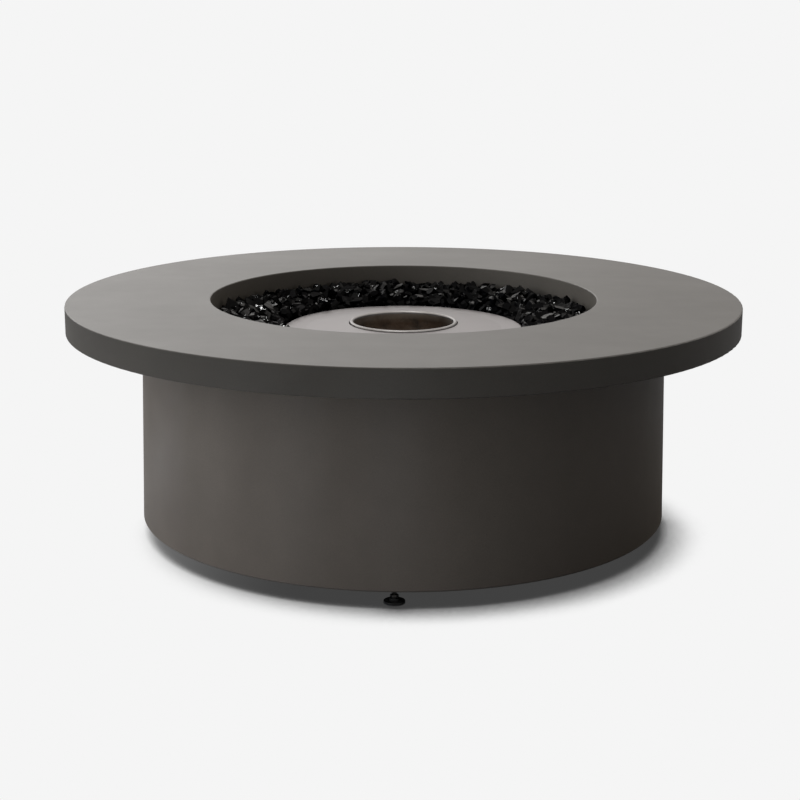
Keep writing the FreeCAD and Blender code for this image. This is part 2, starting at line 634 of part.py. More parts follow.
def make_reservoir():
    """Fuel tank, its pressed deck round the throat, and the fibre pad that fills it."""
    tank = new_body("fuel_tank")
    wall_top = f"({TANK_TOP} - tank_wall)"
    revolve(tank, [
        ("0", TANK_BOTTOM),
        (TANK, TANK_BOTTOM),
        (TANK, wall_top),
        (f"({TANK} - tank_wall)", wall_top),
        (f"({TANK} - tank_wall)", f"({TANK_BOTTOM} + tank_wall)"),
        ("0", f"({TANK_BOTTOM} + tank_wall)"),
    ])
    ring("tank_deck", f"({THROAT} + thread_gap)", TANK, wall_top, TANK_TOP)
    fibre_radius = f"({TANK} - tank_wall - fibre_gap)"
    fibre_bottom = f"({TANK_BOTTOM} + tank_wall + fibre_gap)"
    fibre_top = f"({THROAT_BOTTOM} - baffle_thickness - fibre_gap)"
    ring("fuel_fibre_pad", "0", fibre_radius, fibre_bottom, fibre_top)


def make_burner_casing():
    """Outer pan with an inward flange that hangs from the plate's studs and catches spilt fuel."""
    body = new_body("burner_casing")
    flange_underside = f"({PLATE_UNDERSIDE} - plate_thickness)"
    inside = f"({CASING} - plate_thickness)"
    revolve(body, [
        ("0", CASING_BOTTOM),
        (CASING, CASING_BOTTOM),
        (CASING, PLATE_UNDERSIDE),
        (CASING_MOUTH, PLATE_UNDERSIDE),
        (CASING_MOUTH, flange_underside),
        (inside, flange_underside),
        (inside, CASING_FLOOR),
        ("0", CASING_FLOOR),
    ])
    dress(body, "Fillet", "casing_bottom_edge", [(CASING, CASING_BOTTOM)], "casing_round")
    sketch = new_sketch(body, "casing_stud_hole", "XY_Plane", flange_underside)
    draw_circle(sketch, "plate_stud_radius + plate_stud_hole_gap", PLATE_STUD_CIRCLE)
    hole = pocket_up(body, "casing_stud_hole_cut", sketch, "plate_thickness")
    repeat_round(body, "casing_stud_holes", "plate_stud_count", [hole])


def make_tank_standoffs():
    """Spacer tubes between the casing's floor and the tank."""
    body = new_body("tank_standoffs")
    sketch = new_sketch(body, "standoff", "XY_Plane", CASING_FLOOR)
    draw_circle(sketch, "standoff_radius", "standoff_circle")
    draw_circle(sketch, "standoff_bore", "standoff_circle")
    pad(body, "standoff_raised", sketch, "standoff_height")
    repeat_round(body, "standoffs", "standoff_count")


def make_plate_studs():
    """Studs welded under the plate, through the casing's flange."""
    body = new_body("plate_studs")
    level = f"({PLATE_UNDERSIDE} - plate_stud_length)"
    sketch = new_sketch(body, "plate_stud", "XY_Plane", level)
    draw_circle(sketch, "plate_stud_radius", PLATE_STUD_CIRCLE)
    pad(body, "plate_stud_raised", sketch, "plate_stud_length")
    dress(body, "Chamfer", "plate_stud_end", [("plate_stud_radius", level)], "stud_chamfer")
    repeat_round(body, "plate_studs_round", "plate_stud_count")


def make_plate_stud_nuts():
    """Nuts that clamp the casing's flange to the plate."""
    body = new_body("plate_stud_nuts")
    level = f"({PLATE_UNDERSIDE} - plate_thickness - plate_nut_height)"
    sketch = new_sketch(body, "plate_nut", "XY_Plane", level)
    draw_hexagon(sketch, "plate_nut_flats", PLATE_STUD_CIRCLE)
    draw_circle(sketch, "plate_stud_radius + thread_gap", PLATE_STUD_CIRCLE)
    pad(body, "plate_nut_raised", sketch, "plate_nut_height")
    repeat_round(body, "plate_nuts", "plate_stud_count")


# Build, check and write

def check_document():
    """Stops if any object failed, or if a sub-part has no valid shape."""
    doc.recompute()
    for item in doc.Objects:
        if "Invalid" in item.State or "Error" in item.State:
            raise ValueError(f"{item.Name} failed: {item.State}")
    for body in PIECES:
        if body.Shape.isNull() or not body.Shape.isValid():
            raise ValueError(f"{body.Label} has no valid shape")


def write_pieces():
    """One STEP file for each sub-part, named by its label."""
    os.makedirs("parts", exist_ok=True)
    for body in PIECES:
        body.Shape.exportStep(f"parts/{body.Label}.step")
        solids = len(body.Shape.Solids)
        print(f"{body.Label}: {solids} solids, {body.Shape.Volume / 1000:.2f} cm3")


def main():
    make_tabletop_slab()
    make_slab_gasket()
    make_base_drum()
    make_slab_inserts()
    make_slab_bolts()
    make_slab_washers()
    make_foot_inserts()
    make_foot_lock_nuts()
    for side, angle in FEET.items():
        make_foot(side, angle)
    make_glass_tray()
    make_fire_glass()
    make_burner_top_plate()
    make_mouth()
    make_flame_baffle()
    make_reservoir()
    make_burner_casing()
    make_tank_standoffs()
    make_plate_studs()
    make_plate_stud_nuts()
    check_document()
    write_pieces()


main()
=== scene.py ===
import json
import math
import random

import bpy
from mathutils import Euler, Matrix, Vector


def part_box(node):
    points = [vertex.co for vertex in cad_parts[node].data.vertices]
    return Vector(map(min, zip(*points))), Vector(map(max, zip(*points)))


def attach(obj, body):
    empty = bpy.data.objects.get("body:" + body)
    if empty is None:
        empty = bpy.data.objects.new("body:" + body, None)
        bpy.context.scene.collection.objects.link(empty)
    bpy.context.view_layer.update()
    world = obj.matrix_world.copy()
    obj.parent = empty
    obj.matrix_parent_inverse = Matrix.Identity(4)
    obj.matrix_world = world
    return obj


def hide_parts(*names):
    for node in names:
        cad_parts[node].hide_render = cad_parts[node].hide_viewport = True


# A round fire table in dark concrete: a steel tray of black crushed glass round a lift-out steel burner.
# Metres, in the same frame as the construction: floor at 0, +Z up, -Y is the front.

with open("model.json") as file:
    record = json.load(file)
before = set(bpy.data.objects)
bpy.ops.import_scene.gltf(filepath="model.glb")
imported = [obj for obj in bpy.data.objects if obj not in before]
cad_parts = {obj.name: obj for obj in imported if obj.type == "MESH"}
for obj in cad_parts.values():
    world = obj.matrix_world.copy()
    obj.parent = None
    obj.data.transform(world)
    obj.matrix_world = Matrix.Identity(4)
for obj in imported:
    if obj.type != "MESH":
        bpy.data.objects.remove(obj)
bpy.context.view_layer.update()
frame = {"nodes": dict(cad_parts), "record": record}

# Sizes read from the construction
PLATE_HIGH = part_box("burner_top_plate")[1]
SLAB_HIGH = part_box("tabletop_slab")[1]
TRAY_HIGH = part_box("glass_tray")[1]
THROAT_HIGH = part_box("burner_throat")[1]
WELL_RADIUS = 0.363
PLATE_RADIUS = PLATE_HIGH.x
PLATE_DISH = 0.009
PLATE_EDGE_TOP = PLATE_HIGH.z - PLATE_DISH
TRAY_LIP_RADIUS = TRAY_HIGH.x
TRAY_LIP_TOP = TRAY_HIGH.z
DRUM_FOOT_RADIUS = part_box("base_drum")[1].x

# The photograph's camera
PICTURE_SIDE = 800
LENS_PIXELS = 1693.7
SENSOR = 0.036
CAMERA_DISTANCE = 3.1596
CAMERA_HEIGHT = 1.0013
CAMERA_PITCH = 0.23723
CAMERA_ROLL = 0.00255
CAMERA_SIDE_STEP = math.radians(1.7)
AXIS_RIGHT_OF_CENTRE = 3.3

# Room: strengths where 1 is white, heights as the upward share of a direction
WHITE = (1, 1, 1)
PALE = 0.9131
WORLD_ON_OBJECT = 0.07
ROOM_WARMTH = (1.045, 1.0, 0.95, 1)
ROOM_LOW = 0.47
ROOM_HIGH = 1.2
ROOM_RISE = (0.2, 0.43)
SOFTBOX_BEHIND = 2.0
SOFTBOX_BEHIND_AZIMUTH = math.radians(210)
SOFTBOX_BEHIND_RISE = (0.0, 0.2)
SOFTBOX_BEHIND_FALL = (0.4, 0.65)
SOFTBOX_BEHIND_FOCUS = 8.0

# Floor and the shadow under the drum
FLOOR_SIDE = 120
FLOOR_LEVEL = -0.0005
FLOOR_BOUNCE = 0.3
SHADOW_REACH = 0.15
SHADOW_LEAN = (-0.337, 0.421, 0.842)
SHADOW_CLOSED = 0.41
SHADOW_OPEN = 0.76
SHADOW_EDGE = 0.025
SHADOW_TO_RIGHT = 0.014
SHADOW_DARKEST = 0.052
SHADOW_LIT_LEFT = 0.12
LIT_LEFT_FULL = -0.47
LIT_LEFT_NONE = -0.15

# Lamps: azimuth 0 is the front and 90 the right, in degrees
LEFT_LIGHT = (0.95, 1.0, 1.08)
SUN_WIDTH = 60
SUNS = (
    ("left softbox", -78, 14, 3.3, LEFT_LIGHT),
    ("overhead softbox", 200, 75, 0.7, WHITE),
    ("right fill", 110, 28, 0.35, (1.1, 1.0, 0.88)),
)
LOW_LAMPS = ((-1.2, 0.1, 3.6), (-1.1, -0.5, 1.7), (-0.75, -1.05, 1.3), (-0.05, -1.3, 1.3))
LOW_LAMP_HEIGHT = 0.08
LOW_LAMP_SIZE = 0.35
LOW_LAMP_SPREAD = 135
SPARKLES = ((-160, 55), (-60, 45), (150, 65))
SPARKLE_STRENGTH = 0.9
SPARKLE_WIDTH = 3
RIM_HIGHLIGHT = (-35, 70)
RIM_HIGHLIGHT_WIDTH = 8
BURNER_LAMP = 1.25
BURNER_LAMP_PLACE = (0.06, 0, SLAB_HIGH.z + 0.03)
BURNER_LAMP_SIZE = 0.06
BURNER_LAMP_COLOUR = (1.0, 0.98, 0.98)


# Node helpers

def add_node(tree, kind, values=None, **settings):
    """A shader node with its settings, and inputs that are plain values or another node's output."""
    made = tree.nodes.new(kind)
    for name, value in settings.items():
        setattr(made, name, value)
    for name, value in (values or {}).items():
        feed(tree, made.inputs[name], value)
    return made


def feed(tree, socket, value):
    """Links an output to a socket, or sets a plain value on it."""
    if isinstance(value, bpy.types.NodeSocket):
        tree.links.new(value, socket)
    else:
        socket.default_value = value


def start_material(name):
    """A material with its tree, its glossy shader and the point on the piece."""
    material = bpy.data.materials.new(name)
    material.use_nodes = True
    tree = material.node_tree
    shader = tree.nodes["Principled BSDF"]
    place = add_node(tree, "ShaderNodeTexCoord").outputs["Object"]
    return material, tree, shader, place


def noise(tree, place, scale, detail=2, roughness=0.5):
    """A cloudy pattern round a half."""
    values = {"Vector": place, "Scale": scale, "Detail": detail, "Roughness": roughness}
    return add_node(tree, "ShaderNodeTexNoise", values).outputs["Fac"]


def stretched(tree, place, scale):
    """The place with each axis scaled by itself, for streaks."""
    return add_node(tree, "ShaderNodeMapping", {"Vector": place, "Scale": scale}).outputs["Vector"]


def distance(tree, place):
    """How far a place is from the origin."""
    return add_node(tree, "ShaderNodeVectorMath", {0: place}, operation="LENGTH").outputs["Value"]


def spread(tree, value, low, high, to_low, to_high):
    """Maps low..high of a value to to_low..to_high, clamped."""
    values = {"Value": value, "From Min": low, "From Max": high, "To Min": to_low, "To Max": to_high}
    return add_node(tree, "ShaderNodeMapRange", values).outputs["Result"]


def reckon(tree, operation, first, second=0.0):
    """Arithmetic on plain values and outputs."""
    return add_node(tree, "ShaderNodeMath", {0: first, 1: second}, operation=operation).outputs["Value"]


def weighted(tree, *shares):
    """The sum of some patterns, each with its share."""
    parts = [reckon(tree, "MULTIPLY", pattern, share) for pattern, share in shares]
    total = parts[0]
    for part in parts[1:]:
        total = reckon(tree, "ADD", total, part)
    return total


def mix_colours(tree, share, first, second, how="MIX"):
    """Blends two colours, each a plain colour or an output."""
    made = add_node(tree, "ShaderNodeMix", {0: share}, data_type="RGBA", blend_type=how)
    for index, value in ((6, first), (7, second)):
        is_output = isinstance(value, bpy.types.NodeSocket)
        feed(tree, made.inputs[index], value if is_output else (*value, 1))
    return made.outputs[2]


def two_tones(tree, pattern, low, high, first, second):
    """Goes from one colour to another as a pattern goes from low to high."""
    return mix_colours(tree, spread(tree, pattern, low, high, 0, 1), first, second)


def shaded(tree, colour, shade):
    """A colour made lighter or darker by a value round 1."""
    grey = add_node(tree, "ShaderNodeCombineColor", {"Red": shade, "Green": shade, "Blue": shade})
    return mix_colours(tree, 1.0, colour, grey.outputs["Color"], "MULTIPLY")


def bump(tree, shader, height, strength, depth, onto=None):
    """Raises the surface by a height map, over another bump if one is given."""
    values = {"Height": height, "Strength": strength, "Distance": depth}
    if onto:
        values["Normal"] = onto
    made = add_node(tree, "ShaderNodeBump", values).outputs["Normal"]
    tree.links.new(made, shader.inputs["Normal"])
    return made


# Finishes

SLAB_CONCRETE = (0.0390, 0.0353, 0.0300)
DRUM_CONCRETE = (0.0595, 0.0500, 0.0410)
PINHOLE_DARK = (0.010, 0.009, 0.008)
GLASS_DEEP = (0.0012, 0.0012, 0.0014)
GLASS_PALE = (0.0035, 0.0035, 0.0040)
BRUSHED_STEEL = (0.56, 0.545, 0.535)
PLATE_STEEL = (0.266, 0.257, 0.263)
RIM_STEEL_DARK = (0.23, 0.223, 0.222)
RIM_STEEL_LIGHT = (0.28, 0.272, 0.270)
HEAT_BROWN = (0.115, 0.080, 0.058)
HEAT_STRAW = (0.20, 0.165, 0.135)
SOOT_BLACK = (0.022, 0.020, 0.019)
# Painted light: the throat's upper band is made paler, as if lit from above, over this height
PAINTED_LIT_TOP = (0.26, 0.235, 0.21)
PAINTED_LIT_TOP_HEIGHT = 0.012
BLACK_COAT = (0.012, 0.012, 0.012)
BLACK_NYLON = (0.005, 0.005, 0.005)
BLACK_RUBBER = (0.014, 0.014, 0.014)
ZINC = ((0.42, 0.43, 0.43), (0.56, 0.56, 0.55))
# Painted shade: zinc darkened for the studs, which stand in the shade under the drum
SHADE_DARKENED_ZINC = ((0.055, 0.054, 0.053), (0.10, 0.098, 0.095))
FIBRE_SHADE = (0.62, 0.60, 0.56)
FIBRE_WHITE = (0.82, 0.81, 0.78)

# How the concrete varies: shares of its colour, and patterns as features for each metre
CONCRETE_TONES = (0.88, 1.12)
CONCRETE_ROUGHNESS = (0.44, 0.40)
CONCRETE_IOR = 1.45
# Painted light: how much lighter the well's inner wall is made, and over what edge width
PAINTED_WELL_LIGHT = 1.35
PAINTED_WELL_LIGHT_EDGE = 0.0006
CLOUD_SCALE = 3.0
MOTTLE_SCALE = 21
GRAIN_SCALE = 620
PINHOLE_SCALE = 95.0
PINHOLE_PATCH_SCALE = 12

# How the crushed glass varies
GLASS_IOR = 1.5
GLASS_SHINE = 0.035
GLASS_RIPPLE_SCALE = 110
GLASS_FINE_SCALE = 520


def concrete_finish(name, colour, drag, painted_light_radius=0.0):
    """Sealed dark cast concrete with clouds, mould marks, grain and pinholes, with painted light making it
    lighter inside a radius.
    """
    material, tree, shader, place = start_material(name)
    clouds = noise(tree, place, CLOUD_SCALE, 3, 0.45)
    mottle = noise(tree, place, MOTTLE_SCALE, 4, 0.55)
    marks = noise(tree, stretched(tree, place, drag), 1.0, 3, 0.5)
    grain = noise(tree, place, GRAIN_SCALE, 2, 0.7)
    tone = weighted(tree, (clouds, 0.45), (mottle, 0.25), (marks, 0.3))
    dark, light = (tuple(share * part for part in colour) for share in CONCRETE_TONES)
    base = two_tones(tree, tone, 0.36, 0.64, dark, light)
    base = shaded(tree, base, spread(tree, grain, 0.3, 0.7, *CONCRETE_TONES))
    # Painted light on the well's inner wall: lighter inside the given radius
    if painted_light_radius:
        from_axis = distance(tree, stretched(tree, place, (1, 1, 0)))
        painted_lightening = spread(tree, from_axis, painted_light_radius, painted_light_radius + PAINTED_WELL_LIGHT_EDGE, PAINTED_WELL_LIGHT, 1.0)
        base = shaded(tree, base, painted_lightening)
    cells = add_node(tree, "ShaderNodeTexVoronoi", {"Vector": place, "Scale": PINHOLE_SCALE})
    hole_size = spread(tree, noise(tree, place, PINHOLE_PATCH_SCALE, 2), 0.52, 0.74, 0.0, 0.10)
    pinholes = reckon(tree, "LESS_THAN", cells.outputs["Distance"], hole_size)
    base = mix_colours(tree, reckon(tree, "MULTIPLY", pinholes, 0.6), base, PINHOLE_DARK)
    tree.links.new(base, shader.inputs["Base Color"])
    tree.links.new(spread(tree, tone, 0.34, 0.66, *CONCRETE_ROUGHNESS), shader.inputs["Roughness"])
    shader.inputs["IOR"].default_value = CONCRETE_IOR
    soft = bump(tree, shader, mottle, 0.1, 0.0004)
    soft = bump(tree, shader, grain, 0.15, 0.00012, soft)
    bump(tree, shader, reckon(tree, "SUBTRACT", 1.0, pinholes), 0.5, 0.0007, soft)
    return material


def black_glass_finish(name):
    """Crushed black glass: clean curved fractures with a deep gloss."""
    material, tree, shader, place = start_material(name)
    ripple = noise(tree, place, GLASS_RIPPLE_SCALE, 2)
    fine = noise(tree, place, GLASS_FINE_SCALE, 2)
    tone = two_tones(tree, ripple, 0.3, 0.7, GLASS_DEEP, GLASS_PALE)
    tree.links.new(tone, shader.inputs["Base Color"])
    tree.links.new(spread(tree, fine, 0.3, 0.8, 0.03, 0.13), shader.inputs["Roughness"])
    shader.inputs["IOR"].default_value = GLASS_IOR
    shader.inputs["Specular IOR Level"].default_value = GLASS_SHINE
    first = bump(tree, shader, ripple, 0.7, 0.0016)
    bump(tree, shader, fine, 0.15, 0.0004, first)
    return material


def brushed_steel_finish(name, colour, rough, streaks=(5, 520, 520), contrast=0.9):
    """Stainless steel with fine brushing along one axis and faint handling smears."""
    material, tree, shader, place = start_material(name)
    lines = noise(tree, stretched(tree, place, streaks), 3.0, 3, 0.6)
    smear = noise(tree, place, 11, 3)
    darker = tuple(contrast * part for part in colour)
    tree.links.new(two_tones(tree, lines, 0.3, 0.7, darker, colour), shader.inputs["Base Color"])
    wear = weighted(tree, (lines, 0.5), (smear, 0.5))
    tree.links.new(spread(tree, wear, 0.3, 0.7, *rough), shader.inputs["Roughness"])
    shader.inputs["Metallic"].default_value = 1.0
    bump(tree, shader, lines, 0.1, 0.00015)
    return material


def polished_steel_finish(name):
    """Polished stainless with faint wiping marks."""
    material, tree, shader, place = start_material(name)
    smear = noise(tree, place, 60, 3)
    tone = two_tones(tree, smear, 0.3, 0.7, RIM_STEEL_DARK, RIM_STEEL_LIGHT)
    tree.links.new(tone, shader.inputs["Base Color"])
    tree.links.new(spread(tree, smear, 0.3, 0.7, 0.40, 0.48), shader.inputs["Roughness"])
    shader.inputs["Metallic"].default_value = 1.0
    bump(tree, shader, noise(tree, place, 900, 1), 0.04, 0.0001)
    return material


def heated_steel_finish(name, painted_lit_above=1.0):
    """Stainless darkened by heat: straw and brown tints with soot in clouds, and paler at the top as painted
    light.
    """
    material, tree, shader, place = start_material(name)
    tint = noise(tree, stretched(tree, place, (14, 14, 60)), 1.0, 3)
    soot = noise(tree, place, 35, 4, 0.6)
    base = two_tones(tree, tint, 0.35, 0.65, HEAT_BROWN, HEAT_STRAW)
    base = mix_colours(tree, spread(tree, soot, 0.42, 0.68, 0, 0.8), base, SOOT_BLACK)
    height = add_node(tree, "ShaderNodeSeparateXYZ", {"Vector": place}).outputs["Z"]
    # Painted light: paler towards the top
    lip = spread(tree, height, painted_lit_above, painted_lit_above + PAINTED_LIT_TOP_HEIGHT, 0, 0.7)
    tree.links.new(mix_colours(tree, lip, base, PAINTED_LIT_TOP), shader.inputs["Base Color"])
    tree.links.new(spread(tree, soot, 0.3, 0.7, 0.34, 0.62), shader.inputs["Roughness"])
    shader.inputs["Metallic"].default_value = 1.0
    bump(tree, shader, soot, 0.12, 0.0003)
    return material


def coated_finish(name, colour, rough, grain_scale, depth, shine=0.5):
    """A matt coat or moulded skin: even colour with a fine pebbled surface."""
    material, tree, shader, place = start_material(name)
    pebbles = noise(tree, place, grain_scale, 2)
    dust = noise(tree, place, grain_scale / 12, 4)
    lighter = tuple(1.6 * part + 0.002 for part in colour)
    tree.links.new(two_tones(tree, dust, 0.45, 0.75, colour, lighter), shader.inputs["Base Color"])
    tree.links.new(spread(tree, pebbles, 0.3, 0.7, *rough), shader.inputs["Roughness"])
    shader.inputs["Specular IOR Level"].default_value = shine
    bump(tree, shader, pebbles, 0.3, depth)
    return material


def zinc_finish(name, dark, light):
    """Zinc plating with faint cloudy crystals."""
    material, tree, shader, place = start_material(name)
    clouds = noise(tree, place, 180, 3)
    tree.links.new(two_tones(tree, clouds, 0.35, 0.65, dark, light), shader.inputs["Base Color"])
    tree.links.new(spread(tree, clouds, 0.3, 0.7, 0.30, 0.46), shader.inputs["Roughness"])
    shader.inputs["Metallic"].default_value = 1.0
    bump(tree, shader, clouds, 0.1, 0.0002)
    return material


def fibre_finish(name):
    """White ceramic wool."""
    material, tree, shader, place = start_material(name)
    tufts = noise(tree, place, 220, 6, 0.7)
    tone = two_tones(tree, tufts, 0.3, 0.7, FIBRE_SHADE, FIBRE_WHITE)
    tree.links.new(tone, shader.inputs["Base Color"])
    shader.inputs["Roughness"].default_value = 0.95
    bump(tree, shader, tufts, 0.8, 0.002)
    return material


FINISHES = {
    # The slab's last argument is the radius inside which painted light makes the well's wall lighter.
    "concrete": concrete_finish("slab concrete", SLAB_CONCRETE, (1.5, 9, 9), WELL_RADIUS),
    "black_glass": black_glass_finish("black fire glass"),
    "brushed_stainless": brushed_steel_finish("brushed stainless steel", BRUSHED_STEEL, (0.28, 0.38)),
    "polished_stainless": polished_steel_finish("polished stainless steel"),
    "black_coated_steel": coated_finish("black heat coat", BLACK_COAT, (0.42, 0.6), 900, 0.0002),
    "black_plastic": coated_finish("black moulded nylon", BLACK_NYLON, (0.34, 0.5), 1600, 0.0001, shine=0.2),
    "sole_rubber": coated_finish("black rubber sole", BLACK_RUBBER, (0.7, 0.85), 1200, 0.0002),
    "sealing_rubber": coated_finish("black sealing rubber", BLACK_RUBBER, (0.7, 0.85), 900, 0.0002),
    "zinc_steel": zinc_finish("zinc plated steel", *ZINC),
    "ceramic_fibre": fibre_finish("ceramic fibre wool"),
}
OWN_FINISHES = {
    "base_drum": concrete_finish("drum concrete", DRUM_CONCRETE, (9, 9, 1.5)),
    "burner_top_plate": brushed_steel_finish("matt burner plate", PLATE_STEEL, (0.50, 0.58), contrast=0.95),
    # The throat's paler top band is painted light.
    "burner_throat": heated_steel_finish("heat tinted steel", THROAT_HIGH.z - PAINTED_LIT_TOP_HEIGHT),
    "flame_baffle": heated_steel_finish("heat tinted baffle"),
    # The studs' zinc is darkened as painted shade
    "threaded_stud": zinc_finish("zinc steel darkened as painted shade", *SHADE_DARKENED_ZINC),
}


def dress_construction():
    """Gives each construction piece its own finish, or else that of its material slot."""
    for part in frame["record"]["subparts"]:
        piece = frame["nodes"][part["node"]]
        piece.material_slots[0].material = OWN_FINISHES.get(part["node"], FINISHES[part["material_slot"]])


# Fire glass

SHARD_SHAPES = 16
SHARD_CUTS = 7
SHARD_LENGTH = (0.018, 0.032)
SHARD_WIDTH = (0.013, 0.021)
SHARD_HEIGHT = (0.007, 0.013)
CUT_REACH = (0.42, 0.72)
SHARD_SIZES = (0.72, 1.28)
SHARD_TILT = 0.65
PLACE_JITTER = 0.35
LEVEL_JITTER = 0.003
SHARD_GAP = 0.0003
HEAP_INNER = PLATE_RADIUS + 0.0015
HEAP_OUTER = TRAY_LIP_RADIUS - 0.003
HEAP_AT_PLATE = PLATE_EDGE_TOP + 0.001
HEAP_AT_CROWN = TRAY_LIP_TOP - 0.003
HEAP_AT_WALL = TRAY_LIP_TOP - 0.001
CROWN_SHARE = 0.62
LUMP_HEIGHT = 0.003
LAYERS = ((0.0, 0.0155), (0.009, 0.018))
FIRST_RING = 0.45
RING_STEP = 0.9


def heap_height(radius, angle):
    """The heap's top: low at the plate, a crown two thirds out, lumpy all round."""
    share = min(1.0, max(0.0, (radius - HEAP_INNER) / (HEAP_OUTER - HEAP_INNER)))
    rise = math.sin(0.5 * math.pi * min(1.0, share / CROWN_SHARE))
    height = HEAP_AT_PLATE + (HEAP_AT_CROWN - HEAP_AT_PLATE) * rise
    height += (HEAP_AT_WALL - HEAP_AT_CROWN) * share ** 3
    lumps = 0.55 * math.sin(7 * angle + 1.3) + 0.45 * math.sin(13 * angle + 40 * share)
    return height + LUMP_HEIGHT * lumps * math.sin(math.pi * share)


def cut_shard(draw, number):
    """One shard: a block with its corners split off along flat fractures."""
    bpy.ops.object.select_all(action="DESELECT")
    bpy.ops.mesh.primitive_cube_add(size=1)
    shard = bpy.context.active_object
    shard.name = f"shard_{number}"
    half = Vector([draw.uniform(*limits) / 2 for limits in (SHARD_LENGTH, SHARD_WIDTH, SHARD_HEIGHT)])
    bpy.ops.object.mode_set(mode="EDIT")
    bpy.ops.transform.resize(value=tuple(2 * half))
    for _ in range(SHARD_CUTS):
        normal = Vector([draw.gauss(0, 1) for _ in range(3)]).normalized()
        reach = sum(abs(part) * size for part, size in zip(normal, half))
        bpy.ops.mesh.select_all(action="SELECT")
        bpy.ops.mesh.bisect(plane_co=normal * reach * draw.uniform(*CUT_REACH), plane_no=normal,
                            use_fill=True, clear_outer=True)
    bpy.ops.object.mode_set(mode="OBJECT")
    return shard


def lay_shard(draw, shapes, angle, away, depth):
    """Lays a copy of one of the shapes, tilted and turned, clear of the plate and the tray's lip."""
    shape = draw.choice(shapes)
    size = draw.uniform(*SHARD_SIZES)
    tip = Euler((draw.gauss(0, SHARD_TILT), draw.gauss(0, SHARD_TILT), draw.uniform(0, 2 * math.pi)), "ZYX")
    turned = tip.to_matrix() * size
    corners = [turned @ corner.co for corner in shape.data.vertices]
    outward = Vector((math.cos(angle), math.sin(angle), 0))
    inmost = min(corner.dot(outward) for corner in corners)
    outmost = max(corner.dot(outward) for corner in corners)
    away = max(away, HEAP_INNER - inmost + SHARD_GAP)
    away = min(away, HEAP_OUTER - outmost)
    level = heap_height(away, angle) - depth + draw.uniform(-LEVEL_JITTER, LEVEL_JITTER)
    shard = shape.copy()
    shard.data = shape.data.copy()
    place = outward * away + Vector((0, 0, level))
    shard.matrix_world = Matrix.Translation(place) @ turned.to_4x4()
    bpy.context.collection.objects.link(shard)
    return shard


def join_pieces(pieces):
    """Makes one piece of several and returns it."""
    bpy.ops.object.select_all(action="DESELECT")
    for piece in pieces:
        piece.select_set(True)
    bpy.context.view_layer.objects.active = pieces[0]
    bpy.ops.object.join()
    return pieces[0]


def lay_fire_glass():
    """Lays shards in rings over two layers, each turned its own way, and joins them to one piece."""
    draw = random.Random(41)
    shapes = [cut_shard(draw, number) for number in range(SHARD_SHAPES)]
    laid = []
    for depth, spacing in LAYERS:
        radius = HEAP_INNER + FIRST_RING * spacing
        while radius < HEAP_OUTER:
            count = int(2 * math.pi * radius / spacing)
            turn = draw.uniform(0, 2 * math.pi)
            for step in range(count):
                angle = turn + 2 * math.pi * (step + draw.uniform(-PLACE_JITTER, PLACE_JITTER)) / count
                away = radius + draw.uniform(-PLACE_JITTER, PLACE_JITTER) * spacing
                laid.append(lay_shard(draw, shapes, angle, away, depth))
            radius += spacing * RING_STEP
    for shape in shapes:
        bpy.data.objects.remove(shape)
    heap = join_pieces(laid)
    bpy.ops.object.transform_apply(location=True, rotation=True, scale=True)
    heap.name = "fire_glass_chips"
    heap.data.materials.clear()
    heap.data.materials.append(FINISHES["black_glass"])
    print("fire glass:", len(laid), "shards,", len(heap.data.polygons), "faces")
    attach(heap, "tray")
    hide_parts("fire_glass")
    return heap


# Levelling studs

STUD_PITCH = 0.00125
STUD_ROOT = 0.0033
THREAD_RISE = 0.00065
THREAD_STEPS = ((0, 0.12), (THREAD_RISE, 0.38), (0, 0.12), (-THREAD_RISE, 0.38))
THREAD_SIDES = 20
HEAD_RADIUS = 0.006
HEAD_HEIGHT = 0.0028
SHANK_RADIUS = 0.0038
HEXAGON_UP = 0.0063
HEXAGON_HEIGHT = 0.0055
HEXAGON_CORNER = 0.013 / math.sqrt(3)
HEXAGON_ROUND = 0.0004
SUNK = 0.0005
SMOOTH_BELOW = math.radians(30)


def cut_thread(low, high):
    """A threaded rod between two heights: the thread's flanks are wound up the rod and cut off flat."""
    bpy.ops.mesh.primitive_plane_add(size=0.001, location=(STUD_ROOT, 0, low - 1.5 * STUD_PITCH))
    rod = bpy.context.active_object
    bpy.ops.object.transform_apply(location=True)
    bpy.ops.object.mode_set(mode="EDIT")
    bpy.ops.mesh.select_mode(type="VERT")
    bpy.ops.mesh.merge(type="CENTER")
    for out, share in THREAD_STEPS:
        bpy.ops.mesh.extrude_vertices_move(TRANSFORM_OT_translate={"value": (out, 0, share * STUD_PITCH)})
    bpy.ops.object.mode_set(mode="OBJECT")
    winding = rod.modifiers.new("thread", "SCREW")
    winding.screw_offset = STUD_PITCH
    winding.iterations = math.ceil((high - low) / STUD_PITCH) + 3
    winding.steps = winding.render_steps = THREAD_SIDES
    bpy.ops.object.modifier_apply(modifier=winding.name)
    bpy.ops.object.mode_set(mode="EDIT")
    bpy.ops.mesh.select_all(action="SELECT")
    bpy.ops.mesh.remove_doubles(threshold=1e-5)
    for height, is_top in ((low, False), (high, True)):
        bpy.ops.mesh.select_all(action="SELECT")
        bpy.ops.mesh.bisect(plane_co=(0, 0, height), plane_no=(0, 0, 1), use_fill=True, threshold=1e-7,
                            clear_outer=is_top, clear_inner=not is_top)
    bpy.ops.mesh.select_all(action="SELECT")
    bpy.ops.mesh.normals_make_consistent(inside=False)
    bpy.ops.object.mode_set(mode="OBJECT")
    return rod


